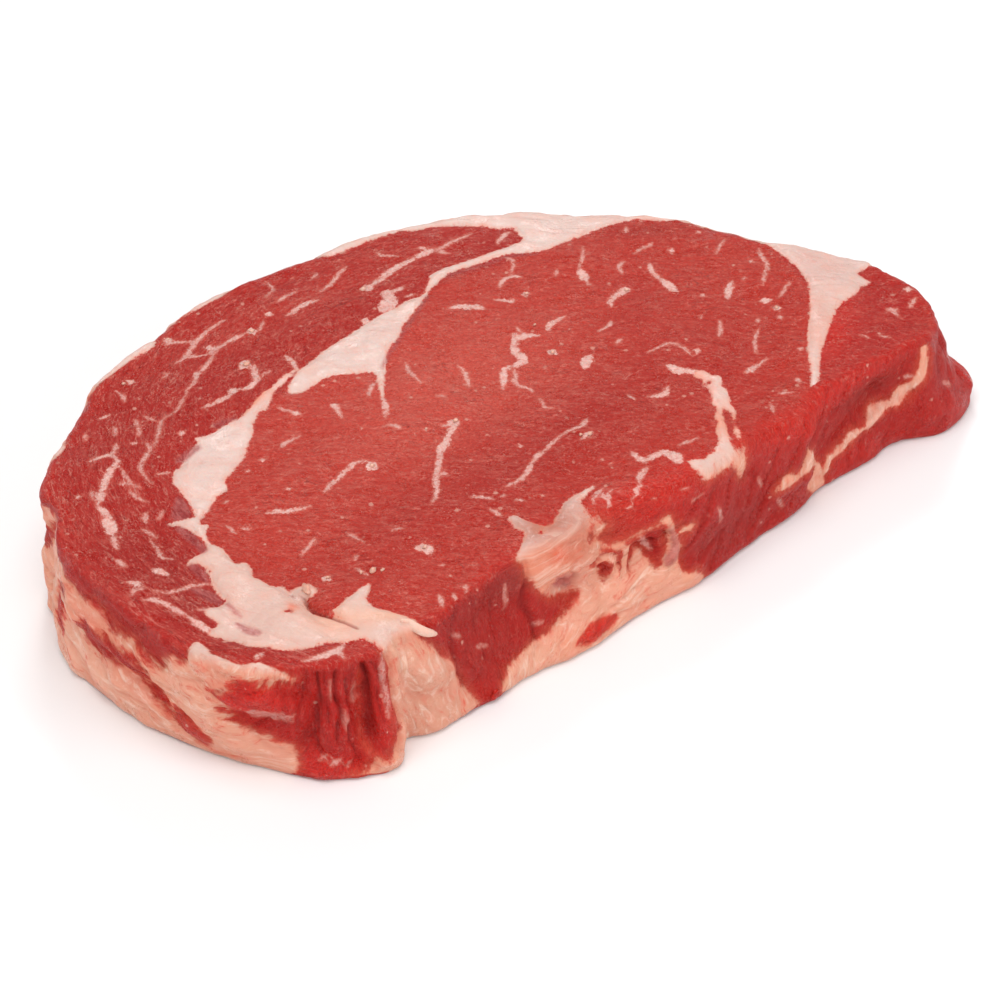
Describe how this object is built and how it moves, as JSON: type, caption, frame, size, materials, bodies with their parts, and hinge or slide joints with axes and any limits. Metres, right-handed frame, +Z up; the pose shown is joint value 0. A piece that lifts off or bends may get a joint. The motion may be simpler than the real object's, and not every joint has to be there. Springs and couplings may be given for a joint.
{
  "type": "raw ribeye steak",
  "caption": "Raw boneless ribeye steak: a flat, thick-cut oval slice of red beef with a round eye, a curved outer cap, pale fat seams and fine marbling.",
  "frame": {"origin": "middle of the steak's box, on the surface it rests on", "axes": "+X along the steak's length towards its red tail, +Z up through its thickness from the resting face, +Y towards the cap's back edge"},
  "size_m": [0.2028, 0.122, 0.0291],
  "materials": {
    "raw_beef": null
  },
  "bodies": {
    "root": {"ribeye_steak": "raw_beef"}
  },
  "joints": []
}
